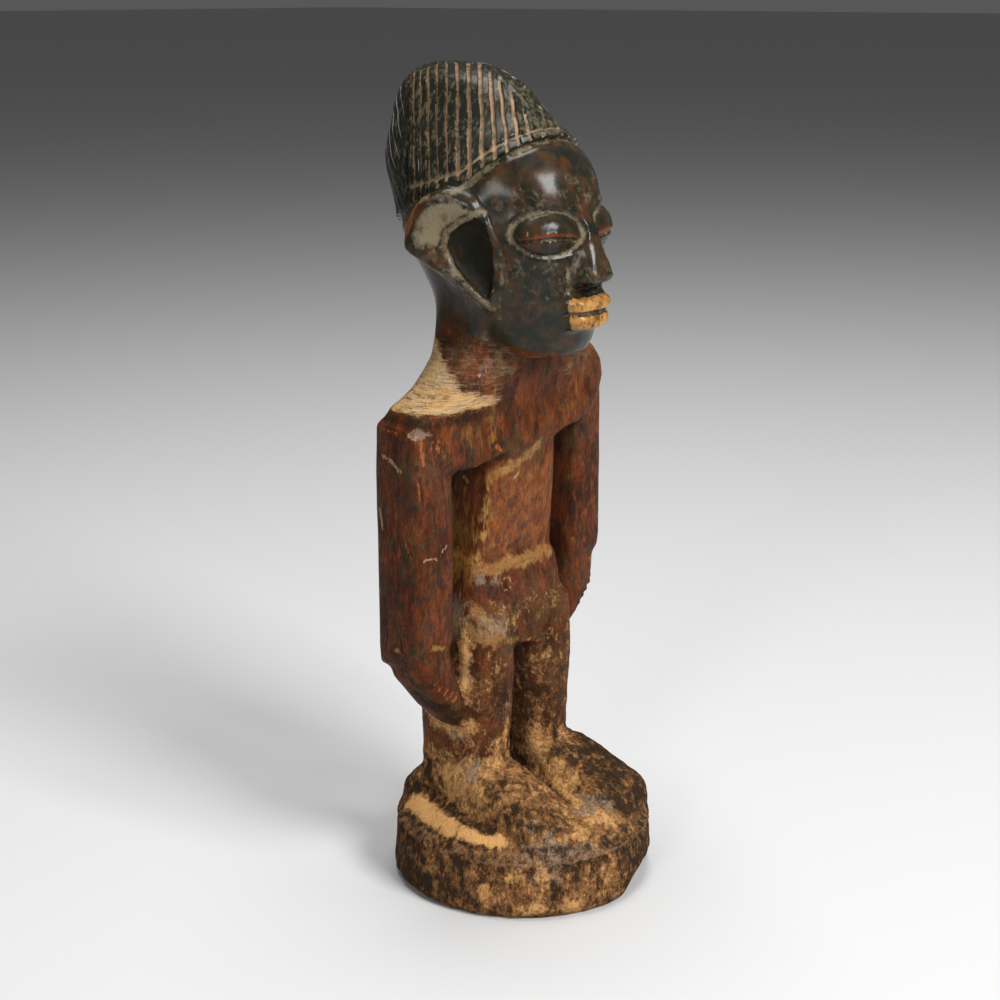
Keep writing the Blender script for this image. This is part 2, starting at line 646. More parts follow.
def outline_depth(across, up, corners):
    """How far inside a closed outline each place lies, below nothing outside it."""
    flat = np.column_stack([across, up])
    reach, _ = line_reach(flat, [*corners, corners[0]])
    inside = np.zeros(len(flat), bool)
    for (x1, y1), (x2, y2) in zip(corners, [*corners[1:], corners[0]]):
        crosses = (y1 > up) != (y2 > up)
        turn = x1 + (up - y1) * (x2 - x1) / (y2 - y1 + 1e-9)
        inside ^= crosses & (across < turn)
    return np.where(inside, reach, -reach)


def lines(points, drawn, softness=0.5, wobble=0):
    """Strips along lines, with uneven edges where they wobble."""
    found = np.zeros(len(points))
    uneven = wobble * ripple(points, 3, 16) if wobble else 0
    for corners, half in drawn:
        reach, _ = line_reach(points, corners)
        reach = reach + uneven
        found = np.maximum(found, 1 - smoothstep(reach, half * (1 - softness), half * (1 + softness)))
    return found


def spots(points, drawn, seed):
    """Patches with an uneven outline."""
    found = np.zeros(len(points))
    uneven = ripple(points, 5, seed) + 0.6 * ripple(points, 2.2, seed + 1)
    for middle, half in drawn:
        reach = np.linalg.norm(points - middle, axis=1) / half + uneven
        found = np.maximum(found, 1 - smoothstep(reach, 0.3, 1.5))
    return found


def hairline_at(forward):
    places, levels = zip(*HAIRLINE)
    return np.interp(forward, places, levels)


def above_hairline(points):
    return points[:, 2] - hairline_at(-points[:, 1])


def lock_place(points, lean=0):
    """Place along the run of side locks, which is the same all along a lock."""
    sideways = np.abs(points[:, 0])
    return -points[:, 1] - LOCK_SWEEP * sideways + lean * (points[:, 2] - LOCK_LEVEL)


def panel_place(points):
    return points[:, 2] + PANEL_SLOPE * (-points[:, 1] - HAIRLINE[0][0])


def ear_axes(points, side):
    """Places in an ear's own axes, and how far out towards the rim they lie, with the rim at one."""
    out = points[:, 0] - side * EAR_PLACE[0]
    back = points[:, 1] + EAR_PLACE[1]
    turn = side * EAR_TURN
    own_out = side * (out * math.cos(turn) - back * math.sin(turn))
    own_back = out * math.sin(turn) + back * math.cos(turn)
    up = points[:, 2] - EAR_PLACE[2]
    low = np.maximum(-up / EAR_HALF[2], 0)
    high = np.maximum(up / EAR_HALF[2], 0)
    centred = own_back + EAR_SWEEP * EAR_HALF[1] * low - high
    centred = centred / np.maximum(1 - EAR_TAPER * np.minimum(low, TAPER_END), NARROWEST)
    rim = np.hypot(centred / EAR_HALF[1], up / EAR_HALF[2])
    return own_out, own_back, up, rim


def on_ear(points):
    """One on both ears, nothing away from them."""
    found = np.zeros(len(points))
    for side in (-1, 1):
        out, _, _, rim = ear_axes(points, side)
        near = np.hypot(out / (EAR_HALF[0] * EAR_THICKNESS), rim)
        outside = points[:, 0] * side > EAR_INSIDE
        found = np.maximum(found, (1 - smoothstep(near, *EAR_EDGE)) * outside)
    return found


def eye_axes(points, side):
    """Places on an eye: sideways, up, and how far out they lie, with the lids' outline at one."""
    sideways = points[:, 0] - side * EYE_PLACE[0]
    back = points[:, 1] + EYE_PLACE[1]
    turn = side * EYE_TURN
    across = sideways * math.cos(turn) + back * math.sin(turn)
    up = points[:, 2] - EYE_PLACE[2]
    return across, up, np.hypot(across / EYE_HALF[0], up / EYE_HALF[1])


def on_features(points):
    """One on the eyes, nose and lips."""
    forward = -points[:, 1]
    middle = bell(points[:, 0], 0, MIDDLE_HALF) ** 0.5
    found = middle * bell(points[:, 2], *MIDDLE_THIRD) ** 0.5 * (forward > MIDDLE_FORWARD)
    for side in (-1, 1):
        _, _, out = eye_axes(points, side)
        found = np.maximum(found, (1 - smoothstep(out, *EYE_WEAR)) * (forward > FACE_BACK))
    return np.clip(found * 1.5, 0, 1)


def remeshed_copy(node):
    """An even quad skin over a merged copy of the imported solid."""
    mesh = node.data.copy()
    shape = bmesh.new()
    shape.from_mesh(mesh)
    bmesh.ops.remove_doubles(shape, verts=shape.verts, dist=MERGE_REACH * MM)
    shape.to_mesh(mesh)
    shape.free()
    piece = bpy.data.objects.new("carved_figure", mesh)
    bpy.context.scene.collection.objects.link(piece)
    remesh = piece.modifiers.new("skin", "REMESH")
    remesh.mode = "VOXEL"
    remesh.voxel_size = SKIN_STEP * MM
    bpy.context.view_layer.update()
    graph = bpy.context.evaluated_depsgraph_get()
    even = bpy.data.meshes.new_from_object(piece.evaluated_get(graph))
    piece.modifiers.clear()
    piece.data = even
    even.materials.clear()
    return piece


def wear_down(mesh):
    """Takes the facets off the head, and wears down the edges of the body."""
    points = points_of(mesh)
    edges = edges_of(mesh)
    ears = on_ear(points)
    features = on_features(points)
    in_head = smoothstep(points[:, 2], CHIN_LEVEL + 2, CHIN_LEVEL + 10)
    body = (1 - EAR_SPARED * ears) * (1 - FEATURE_SPARED * features)
    points = smooth(points, edges, body, FACET_PASSES)
    place_points(mesh, points)
    head = in_head * (1 - ears) * (1 - features)
    points = melt(points, edges, normals_of(mesh), head, HEAD_PASSES)
    place_points(mesh, points)


def zone_of(shape, wanted):
    """The faces of a shape whose corners pass a test, with their edges and corners."""
    places = np.array([vertex.co for vertex in shape.verts]) / MM
    shape.verts.index_update()
    picked = wanted(places)
    faces = [face for face in shape.faces if all(picked[vertex.index] for vertex in face.verts)]
    edges = dict.fromkeys(edge for face in faces for edge in face.edges)
    verts = dict.fromkeys(vertex for face in faces for vertex in face.verts)
    return [*verts, *edges, *faces]


def near_marks(places):
    """The surroundings of the nicks, scratches and small rings."""
    found = lines(places, [(corners, MARK_REACH) for corners, _ in ORANGE_LINES + PALE_LINES]) > 0.5
    for middle in (CHIP_PLACE, RING_PLACE, KNOB_PLACE):
        found = found | (np.linalg.norm(places - middle, axis=1) < 2 * MARK_REACH)
    return found


def in_detail(places):
    """Where the carving is finer than the skin's faces."""
    forward = -places[:, 1]
    level = places[:, 2]
    face = (level > FACE_FOOT) & (level < hairline_at(forward) - 1) & (forward > FACE_BACK)
    face = face & (on_ear(places) < 0.5)
    ears = on_ear(places) > 0.4
    hands = (np.abs(places[:, 0]) > HAND_INSIDE) & (level > HAND_LEVELS[0]) & (level < HAND_LEVELS[1])
    outside = np.hypot(places[:, 0], places[:, 1]) > EDGE_RADIUS - EDGE_INSIDE
    plinth_edge = (np.abs(level - EDGE_LEVEL) < EDGE_STRIP) & outside
    return face | ears | hands | near_marks(places) | plinth_edge


def refine(mesh):
    """Halves the faces where the carving is fine, and evens them out."""
    shape = bmesh.new()
    shape.from_mesh(mesh)
    zone = zone_of(shape, in_detail)
    edges = [item for item in zone if isinstance(item, bmesh.types.BMEdge)]
    bmesh.ops.subdivide_edges(shape, edges=edges, cuts=1, use_grid_fill=True)
    shape.to_mesh(mesh)
    shape.free()
    points = points_of(mesh)
    strength = in_detail(points) * 1.0
    place_points(mesh, smooth(points, edges_of(mesh), strength, DETAIL_PASSES))


def cut_along(shape, geometry, normal, values):
    """Cuts faces along parallel planes, one for each value of the place along the normal."""
    length = normal.length
    for value in values:
        result = bmesh.ops.bisect_plane(
            shape, geom=geometry, dist=SNAP * MM,
            plane_co=normal * (value * MM / length ** 2), plane_no=normal / length,
        )
        geometry = result["geom"]
    return geometry


def lock_grooves():
    """Grooves between the side locks: middle, half-width and lean of each."""
    dice = random.Random(4)
    grooves = [(PARTING - 0.5, GROOVE_HALF, 0)]
    start = PARTING
    while start < HAIR_FRONT:
        pitch = min(FIRST_PITCH + PITCH_GROWTH * (len(grooves) - 1), WIDEST_PITCH)
        middle = start + pitch * (1 - GROOVE_SHARE / 2)
        lean = LEAST_LEAN + LEAN_GROWTH * smoothstep(np.float64(middle), *LEAN_RAMP)
        half = GROOVE_HALF + GROOVE_CHANCE * dice.random() + GROOVE_GROWTH * pitch ** 2
        grooves.append((middle, half, float(lean)))
        start += pitch
    return grooves


def panel_grooves():
    return [PANEL_START + PANEL_PITCH * (index + PANEL_FIRST) for index in range(PANEL_GROOVES)]


def in_hair(places):
    return (above_hairline(places) > -2) & (places[:, 2] > HAIR_FOOT) & (on_ear(places) < 0.5)


def cut_hair(mesh):
    """Runs edges along every groove of the hair, so that they can be sunk with crisp sides."""
    shape = bmesh.new()
    shape.from_mesh(mesh)
    cut_along(shape, zone_of(shape, in_hair), Vector((1, 0, 0)), [0])
    for side in (-1, 1):
        locks = lambda places: (
            in_hair(places) & (side * places[:, 0] > -0.01) & (lock_place(places) > PARTING - 3))
        zone = zone_of(shape, locks)
        for middle, half, lean in lock_grooves():
            normal = Vector((-LOCK_SWEEP * side, -1, lean))
            level = middle + lean * LOCK_LEVEL
            zone = cut_along(shape, zone, normal, [level + share * half for share in CUTS_ACROSS])
    panel = lambda places: in_hair(places) & (lock_place(places) < PARTING + 0.2)
    zone = zone_of(shape, panel)
    normal = Vector((0, -PANEL_SLOPE, 1))
    for middle in panel_grooves():
        level = middle + PANEL_SLOPE * HAIRLINE[0][0]
        zone = cut_along(shape, zone, normal, [level + share * PANEL_HALF for share in (-1, 0, 1)])
    cut_border(shape)
    bmesh.ops.dissolve_degenerate(shape, dist=SLIVER * MM, edges=shape.edges)
    shape.to_mesh(mesh)
    shape.free()


def cut_border(shape):
    """Runs edges along the hairline and along the groove over it."""
    strip, strip_half = BORDER_STRIP
    steps = [0, 0.4] + [BORDER_HEIGHT + BORDER_GROOVE * share for share in BORDER_CUTS]
    for (place, level), (next_place, next_level) in zip(HAIRLINE, HAIRLINE[1:]):
        slope = (next_level - level) / (next_place - place)
        border = lambda places: (
            (-places[:, 1] > place - 1) & (-places[:, 1] < next_place + 2)
            & (np.abs(above_hairline(places) - strip) < strip_half)
            & (on_ear(places) < 0.5) & (places[:, 2] > HAIR_FOOT - 1))
        wanted = steps if place > HAIRLINE[0][0] else steps[:2]
        foot = level - slope * place
        cut_along(shape, zone_of(shape, border), Vector((0, slope, 1)), [foot + step for step in wanted])


def sink_hair(mesh, masks):
    """Sinks the grooves of the hair and raises its edge over the skin."""
    points = points_of(mesh)
    normals = normals_of(mesh)
    above = above_hairline(points)
    place = lock_place(points)
    inside = (points[:, 2] > HAIR_FOOT) & (on_ear(points) < 0.5)
    hair = (above > HAIR_EDGE) & inside
    step = np.where(above > HAIR_EDGE, EDGE_RISE, EDGE_SINK)
    lift = step * HAIR_STAND * (1 - smoothstep(np.abs(above), *EDGE_FADE))
    lift = lift * inside
    cut = np.zeros(len(points))
    side_locks = hair & (place > PARTING - 1.4)
    near_crest = 1 - smoothstep(np.abs(points[:, 0]), *CREST_HALF)
    fade = 1 - FRONT_FADE * smoothstep(place, *FRONT_RAMP)
    fade = fade * (1 - near_crest * smoothstep(place, *CREST_START))
    for middle, half, lean in lock_grooves():
        off = (lock_place(points, lean) - middle) / half
        sunk = 1 - smoothstep(np.abs(off), *GROOVE_WALL)
        cut = np.maximum(cut, sunk * side_locks * fade)
    start = [HAIRLINE[1][0] + off for off in BORDER_START]
    border = (bell(above, BORDER_HEIGHT + BORDER_GROOVE / 2, BORDER_GROOVE * BORDER_WALL) ** 0.6
              * smoothstep(-points[:, 1], *start))
    cut = np.maximum(cut, border * hair)
    panel = hair & (place < PARTING - 0.2)
    for middle in panel_grooves():
        off = (panel_place(points) - middle) / PANEL_HALF
        cut = np.maximum(cut, PANEL_DEPTH * (1 - smoothstep(np.abs(off), 0, 1)) * panel)
    lift = lift - cut * GROOVE_DEPTH - PANEL_DROP * panel
    points = points + normals * lift[:, None]
    points[:, 1] += lumps(points, HAIR_WOBBLE) * smoothstep(above, *WOBBLE_START) * hair
    place_points(mesh, points)
    masks["hair"] = hair * 1.0
    masks["groove"] = cut * (GROOVE_DUST + DUST_CHANGE * ripple(points, *DUST_RUN))


def make_uneven(mesh, masks):
    """Knife marks and old crust, as a slight unevenness of the skin."""
    points = points_of(mesh)
    normals = normals_of(mesh)
    calm = 1 - CALM * smoothstep(points[:, 2], *CALM_HEAD)
    lift = lumps(points, LUMP) * calm
    lift += lumps(points, SMALL_LUMP) * calm
    lift += lumps(points, HEAD_LUMP) * masks["head"] * (1 - masks["hair"])
    lift += lumps(points, CRUST_LUMP) * masks["crust"]
    lift += lumps(points, CRUST_HEAP) * masks["crust"]
    lift *= smoothstep(points[:, 2], *STANDING_EDGE)
    place_points(mesh, points + normals * lift[:, None])


def carve_face(mesh, masks):
    """Lidded eyes with a slit, nostrils, the wings of the nose, and the line of the mouth."""
    points = points_of(mesh)
    normals = normals_of(mesh)
    level = points[:, 2]
    forward = -points[:, 1]
    lift = np.zeros(len(points))
    lids = np.zeros(len(points))
    drawn = np.zeros(len(points))
    nostrils = np.zeros(len(points))
    for side in (-1, 1):
        across, up, out = eye_axes(points, side)
        near = (forward > FACE_BACK - 1) & (points[:, 0] * side > -4) & (out < EYE_REACH)
        outline = bell(out, *EYE_GROOVE) * near
        slit_level = SLIT_LEVEL - SLIT_BEND * across ** 2
        slit = bell(up, slit_level, SLIT_HALF[1]) * (np.abs(across) < SLIT_HALF[0]) * near
        upper_lid = bell(up, slit_level + LID_RISE, LID_HALF[1]) * (np.abs(across) < LID_HALF[0]) * near
        lift -= EYE_GROOVE_DEPTH * outline + SLIT_DEPTH * slit
        lift += LID_HEIGHT * upper_lid
        lids = np.maximum(lids, upper_lid)
        drawn = np.maximum(drawn, np.maximum(outline, slit))
        reach = np.hypot(points[:, 0] - side * NOSTRIL_ASIDE, forward - FACE_FORWARD - NOSTRIL_FORWARD)
        opening = 1 - smoothstep(reach, *NOSTRIL_WALL)
        at_nose = bell(level, NOSE_LEVEL + NOSTRIL_BAND[0], NOSTRIL_BAND[1])
        nostrils = np.maximum(nostrils, opening * at_nose)
    front = forward > FACE_FORWARD - 4
    mouth = bell(level, MOUTH_LEVEL, MOUTH_GROOVE) * (np.abs(points[:, 0]) < MOUTH_HALF) * front
    wings = bell(np.abs(points[:, 0]), *WING_ASIDE)
    wings = wings * bell(level, NOSE_LEVEL + WING_BAND[0], WING_BAND[1]) * front
    lift -= MOUTH_DEPTH * mouth + NOSTRIL_DEPTH * nostrils + WING_DEPTH * wings
    place_points(mesh, points + normals * lift[:, None])
    lips = (bell(level, MOUTH_LEVEL, LIP_HALF) > LIP_EDGE) & (np.abs(points[:, 0]) < MOUTH_HALF + 2)
    masks["lids"] = lids
    masks["lips"] = lips * (forward > FACE_FORWARD + 0.5) * (1 - mouth)
    masks["lines"] = np.maximum(np.maximum(drawn, mouth), np.maximum(nostrils, wings))


def carve_ears(mesh, masks):
    """A thick rim, a ridge that parts the dish from the hollow, and the flap before the hollow."""
    points = points_of(mesh)
    normals = normals_of(mesh)
    found = {}
    near = on_ear(points) > 0.3
    for side in (-1, 1):
        out, back, up, rim = ear_axes(points, side)
        outer = near & (points[:, 0] * side > 0) & (out > -1)
        at_side = points[:, 0] * side > TRAGUS_INSIDE
        flat = np.column_stack([back, up])
        ridge, _ = line_reach(flat, EAR_RIDGE)
        tragus, _ = line_reach(flat, TRAGUS)
        depth = outline_depth(back, up, [*EAR_RIDGE, *EAR_FRONT])
        outside_ridge = smoothstep(-depth, *DISH_EDGE)
        fade = smoothstep(back, *RIM_BACK) * smoothstep(up, *RIM_UP)
        now = {
            "rim": bell(rim, *RIM_BAND) * fade * outer,
            "dish": outside_ridge * smoothstep(up, *DISH_UP) * (1 - smoothstep(rim, *DISH_RIM)) * outer,
            "worn": bell(rim, *WORN_BAND) * outer * smoothstep(back, *WORN_BACK) * bell(up, *WORN_UP),
            "ridge": (1 - smoothstep(ridge, *RIDGE_WALL)) * outer,
            "lobe": outside_ridge * smoothstep(1 - up, *LOBE_DOWN) * outer,
            "hollow": smoothstep(depth, *HOLLOW_WALL) * outer,
            "tragus": (1 - smoothstep(tragus, *TRAGUS_WALL)) * (near | (out > -3)) * (rim < 1.4) * at_side,
        }
        for name, values in now.items():
            found[name] = np.maximum(found.get(name, 0), values)
    lift = RIM_HEIGHT * found["rim"] + RIDGE_HEIGHT * found["ridge"] + TRAGUS_HEIGHT * found["tragus"]
    lift -= HOLLOW_DEPTH * found["hollow"]
    place_points(mesh, points + normals * lift[:, None])
    for name in ("dish", "worn", "ridge", "lobe", "hollow"):
        masks[name] = found[name]


def finger_ridges(points):
    """Height of the fingers' backs on both hands, and where the right hand's are worn."""
    height = np.zeros(len(points))
    worn = np.zeros(len(points))
    for side in (-1, 1):
        spread = np.array([-side, 1, 1])
        right_hand = side < 0
        raised = 0 if right_hand else LEFT_HAND_RISE
        wear = WORN_FINGERS if right_hand else 0
        corners = [tuple(np.array(corner) * spread + (0, 0, raised)) for corner in FINGER_LINE]
        reach, along = line_reach(points, corners)
        row = 1 - smoothstep(reach, *FINGER_WALL)
        wave = np.cos(along * 2 * math.pi / FINGER_PITCH)
        height += FINGER_HEIGHT * row * (wave + 0.2) * smoothstep(along, *FINGER_START)
        backs = smoothstep(wave, *WORN_BACKS) * smoothstep(along, *WORN_START)
        worn = np.maximum(worn, wear * row * backs)
    return height, worn


def toe_grooves(points):
    """Faint grooves between the toes of each foot."""
    across = np.abs(points[:, 0])
    forward = -points[:, 1]
    level = points[:, 2]
    first = np.where(points[:, 0] < 0, *TOE_START)
    between = np.cos((across - 5) * 2 * math.pi / TOE_PITCH)
    reach = smoothstep(forward, first, first + TOE_RUN) * (level > TOE_LEVELS[0]) * (level < TOE_LEVELS[1])
    return smoothstep(between, *TOE_WALL) * reach * (across > TOE_SIDES[0]) * (across < TOE_SIDES[1])


def split_facet(points, masks):
    """Sinks the place where a chip split off the shoulder."""
    facing = np.array(CHIP_FACING) / np.linalg.norm(CHIP_FACING)
    aside = np.array([-facing[1], facing[0], 0])
    off = points - CHIP_PLACE
    out = np.abs(off @ aside) / CHIP_HALF[0] + np.abs(off[:, 2]) / CHIP_HALF[1]
    out = out + 0.3 * ripple(points, 2.5, 14)
    chip = (1 - smoothstep(out, *CHIP_EDGE)) * (np.abs(off @ facing) < CHIP_HALF[0])
    depth = CHIP_DEPTH * (1 + CHIP_SLOPE * off[:, 2] / CHIP_HALF[1])
    masks["chip"] = chip
    return points - facing * (depth * chip)[:, None]


def carve_marks(mesh, masks):
    """Fingers, toes, nicks, the plinth's lip, the split facet and the edges of the feet."""
    points = points_of(mesh)
    normals = normals_of(mesh)
    lift, masks["fingers"] = finger_ridges(points)
    lift -= TOE_DEPTH * toe_grooves(points)
    lift -= FOLD_DEPTH * lines(points, DARK_LINES) + SCRATCH_DEPTH * lines(points, PALE_LINES, 0.3)
    lift += SMEAR_HEIGHT * lines(points, CRUST_LINES) + FILM_HEIGHT * lines(points, FILM_LINES, 0.9)
    nicks = lines(points, ORANGE_LINES, 0.3)
    lift -= NICK_DEPTH * nicks
    ring = bell(np.linalg.norm(points - RING_PLACE, axis=1), *RING_BAND)
    knob = 1 - smoothstep(np.linalg.norm(points - KNOB_PLACE, axis=1), *KNOB_WALL)
    lift += KNOB_HEIGHT * knob - RING_DEPTH * ring
    points = points + normals * lift[:, None]
    level = points[:, 2]
    outside = np.hypot(points[:, 0], points[:, 1]) > EDGE_RADIUS - EDGE_INSIDE
    lip = LIP_HEIGHT * bell(level, EDGE_LEVEL + LIP_BAND[0], LIP_BAND[1])
    lip = lip - LIP_HEIGHT * bell(level, EDGE_LEVEL + PRESSED_BAND[0], PRESSED_BAND[1])
    points = points + normals * (lip * outside)[:, None]
    points = split_facet(points, masks)
    place_points(mesh, points)
    masks["nicks"] = nicks
    masks["pale"] = np.maximum(lines(points, PALE_LINES, 0.3), RING_PALE * ring)


class Places:
    """The named measures of every point that the layers of wear go by."""

    def __init__(self, mesh):
        self.points = points_of(mesh)
        self.across, self.back, self.level = self.points.T
        self.forward = -self.back
        self.aside = np.abs(self.across)
        self.radius = np.hypot(self.across, self.back)
        self.front = smoothstep(-normals_of(mesh)[:, 1], 0.2, 0.8)
        self.between_arms = self.aside < ARM_START[0]


def paint_crust(place, masks):
    """Where earth crust, its smooth, grey, pale and dark parts, and the plinth's worn edge lie."""
    points, across, level, forward, radius = (
        place.points, place.across, place.level, place.forward, place.radius)
    wall = 1 - smoothstep(level, *WALL_TOP)
    chamfer = (1 - wall) * smoothstep(radius, *CHAMFER_START) * (level < CHAMFER_TOP)
    left_wall = smoothstep(-across * 0.77 + place.back * 0.64, *LEFT_WALL)
    feet = 1 - smoothstep(level, *FEET_TOP)
    legs = (0.42 + 0.06 * (across > 0)) * (1 - smoothstep(level, *LEGS_TOP)) * place.between_arms
    hips = 0.4 * bell(level, *HIPS) * place.between_arms * (forward > -8)
    drawn = np.maximum(lines(points, CRUST_LINES, 0.8, 0.8), lines(points, SMOOTH_CRUST))
    masks["crust"] = np.maximum.reduce([feet - 0.22 * wall - 0.12 * chamfer, legs, hips, 0.95 * drawn])
    masks["smooth"] = lines(points, SMOOTH_CRUST, 0.9, 1.5)
    foot_levels, foot_across, foot_back = NEAR_FOOT
    near_foot = bell(level, *foot_levels) ** 0.7 * smoothstep(-across, *foot_across)
    near_foot = near_foot * bell(place.back, *foot_back)
    masks["light"] = np.maximum.reduce([spots(points, PALE_SPOTS, 11), 0.85 * drawn, near_foot])
    polish = chamfer * bell(across, *POLISHED_EDGE[0]) * smoothstep(forward, *POLISHED_EDGE[1])
    masks["grey"] = np.maximum.reduce([spots(points, GREY_SPOTS, 13), 0.3 * chamfer, 0.85 * polish])
    edge = bell(level, *EDGE_BAND) * (radius > 38)
    upper_edge = bell(level, *UPPER_EDGE) * (radius > 36) * (forward < 34)
    masks["edge"] = edge * smoothstep(forward, *EDGE_FRONT)
    right_wall = 0.2 + 0.8 * smoothstep(across * 0.77 + forward * 0.2, *RIGHT_WALL)
    far_foot = 0.55 * feet * smoothstep(across, *FAR_FOOT) * (level > FAR_FOOT_LEVEL)
    under_straw = bell(level, *UNDER_STRAW[0]) * smoothstep(-across, *UNDER_STRAW[1])
    masks["dark"] = np.maximum.reduce([
        0.95 * wall * right_wall,
        1.9 * far_foot,
        lines(points, DARK_LINES),
        0.8 * spots(points, DARK_SPOTS, 12),
        0.9 * wall * left_wall,
        0.46 * chamfer,
        0.85 * bell(level, *UNDER_EDGE) * (radius > 38),
        0.85 * upper_edge,
        0.4 * bell(level, *FOOT_EDGE),
        0.62 * under_straw,
        0.3 * bell(level, *SHADED_LEGS) * place.between_arms,
        0.6 * bell(level, *BEHIND_NECK) * (forward < 0),
    ])


def paint_body(place, masks):
    """Where film, straw, stains and the worn orange, purple and ochre parts of the body lie."""
    points, across, level, aside, front = (
        place.points, place.across, place.level, place.aside, place.front)
    masks["film"] = lines(points, FILM_LINES, 0.9, 1.3)
    masks["grey_film"] = lines(points, GREY_LINES, 1, 2)
    masks["blots"] = spots(points, BLUE_SPOTS, 15)
    top_edge = STRAW_TOP + STRAW_RISE * place.back
    top = smoothstep(level, *STRAW_FOOT) * (1 - smoothstep(level, top_edge - 1, top_edge + 4))
    masks["straw"] = top * smoothstep(-across, *STRAW_SIDE) * (1 - smoothstep(place.back, *STRAW_BACK))
    masks["threads"] = 1 - smoothstep(level, *THREADS_TOP)
    masks["strokes"] = 0.4 * bell(level, *NECK_STROKES[0]) * smoothstep(aside, *NECK_STROKES[1])
    arms = smoothstep(aside, *ARM_START) * (level < ARM_TOP)
    masks["arms"] = arms
    belly_levels, belly_sides, belly_front = BELLY
    belly = bell(level, *belly_levels) ** 0.5 * (1 - smoothstep(aside, *belly_sides))
    belly = belly * smoothstep(place.forward, *belly_front)
    chest = 0.3 * smoothstep(level, *CHEST[0]) * (1 - smoothstep(level, *CHEST[1])) * front
    apron = 0.37 * bell(level, *APRON) * front
    arm_fronts = 0.26 * arms * front * smoothstep(level, *ARM_FRONT)
    throat = 0.34 * bell(level, *THROAT) * front
    masks["orange"] = np.maximum.reduce([belly, chest, apron, arm_fronts, throat])
    masks["purple"] = np.maximum.reduce([
        0.55 * bell(level, *PURPLE_APRON) * front,
        0.4 * bell(level, *PURPLE_THIGHS),
        0.35 * belly,
        0.4 * bell(level, *PURPLE_NECK) * (aside < 16),
        0.5 * arms * bell(level, *PURPLE_ARMS),
    ])
    panel_sides, panel_levels, panel_back = SIDE_PANEL
    side_panel = bell(aside, *panel_sides) * bell(level, *panel_levels)
    side_panel = side_panel * smoothstep(place.back, *panel_back) * (1 - arms)
    worn_chest = 0.2 * front * smoothstep(aside, *WORN_CHEST[0]) * bell(level, *WORN_CHEST[1])
    masks["belly_edge"] = lines(points, OCHRE_LINES[:1], 1, 1)
    masks["ochre"] = np.maximum.reduce([
        0.8 * side_panel, 0.65 * lines(points, OCHRE_LINES, 1, 1.6), worn_chest])


def paint_head(place, masks):
    """Where the dark head starts, and where dust lies on it."""
    level, forward = place.level, place.forward
    masks["head"] = smoothstep(level + 0.25 * np.clip(forward, -40, 30), *HEAD_START)
    masks["dusty_hair"] = smoothstep(lock_place(place.points), *DUSTY_HAIR) * masks["hair"]
    temple = bell(above_hairline(place.points), *TEMPLE) * masks["head"] * (1 - masks["hair"])
    brow = bell(level, *BROW[0]) * smoothstep(forward, *BROW[1]) * masks["head"]
    cheek = 0.4 * bell(level, *CHEEK[0]) * smoothstep(forward, *CHEEK[1]) * masks["head"]
    masks["dust"] = np.maximum.reduce([temple * (forward > TEMPLE_BACK), 0.45 * brow, cheek])


def paint_hollows(mesh, masks):
    """Sunk places, from how far the skin lies under its own surroundings."""
    points = points_of(mesh)
    edges = edges_of(mesh)
    wide = points
    for _ in range(WIDE_PASSES):
        wide = wide + (neighbour_mean(wide, edges) - wide) * WIDE_PUSH
    height = ((points - wide) * normals_of(mesh)).sum(axis=1)
    masks["sunk"] = np.clip(-height / FULL_HOLLOW, 0, 1)


def keep_masks(mesh, masks):
    for name, values in masks.items():
        layer = mesh.attributes.new(name, "FLOAT", "POINT")
        layer.data.foreach_set("value", np.clip(values, 0, 1).astype(np.float32))


def make_figure():
    piece = remeshed_copy(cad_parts["ibeji_figure"])
    mesh = piece.data
    masks = {}
    wear_down(mesh)
    refine(mesh)
    cut_hair(mesh)
    sink_hair(mesh, masks)
    carve_face(mesh, masks)
    carve_ears(mesh, masks)
    carve_marks(mesh, masks)
    place = Places(mesh)
    paint_crust(place, masks)
    paint_body(place, masks)
    paint_head(place, masks)
    make_uneven(mesh, masks)
    paint_hollows(mesh, masks)
    keep_masks(mesh, masks)
    mesh.polygons.foreach_set("use_smooth", [True] * len(mesh.polygons))
    mesh.set_sharp_from_angle(angle=math.radians(SHARP_ANGLE))
    mesh.materials.append(make_wood())
    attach(piece, "root")
    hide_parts("ibeji_figure")


def input_socket(group, name, value):
    made = group.interface.new_socket(name, in_out="INPUT", socket_type="NodeSocketFloat")
    made.default_value = value


